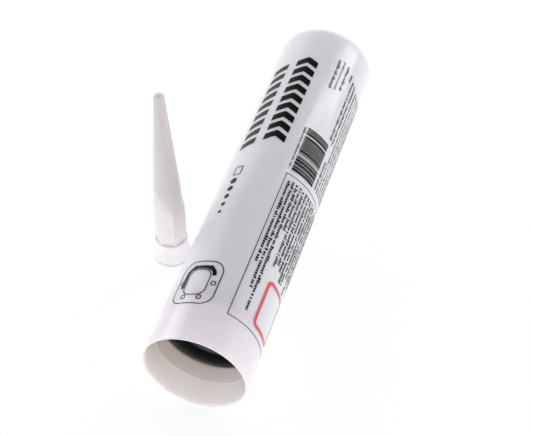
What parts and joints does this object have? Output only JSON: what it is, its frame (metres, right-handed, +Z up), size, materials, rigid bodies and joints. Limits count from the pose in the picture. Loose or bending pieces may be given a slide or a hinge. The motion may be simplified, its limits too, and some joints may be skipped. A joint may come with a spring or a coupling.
{
  "type": "sealant cartridge",
  "caption": "Gasket sealant cartridge: plain plastic tube with an open rear end, sliding plunger, closed threaded neck and a loose tapered nozzle with a hexagonal grip.",
  "frame": {"origin": "centre of the open rear end, on the tube's axis in the plane of the rear rim", "axes": "+Y along the tube from the open rear end to the head, +Z up from the surface that the tube lies on"},
  "size_m": [0.0763, 0.23, 0.1081],
  "materials": {
    "barrel_plastic": "glossy pale grey polyethylene",
    "plunger_plastic": "satin black polyethylene",
    "sealant_paste": "glossy black paste",
    "nozzle_plastic": "satin milky polyethylene"
  },
  "bodies": {
    "cartridge": {"barrel": "barrel_plastic", "sealant": "sealant_paste", "nozzle": "nozzle_plastic"},
    "plunger": {"plunger": "plunger_plastic"}
  },
  "joints": [
    {"name": "plunger_slide", "type": "slide", "parent": "cartridge", "child": "plunger", "axis": [0, 1, 0], "range_m": [0, 0.1765], "deforming": ["sealant"]}
  ]
}
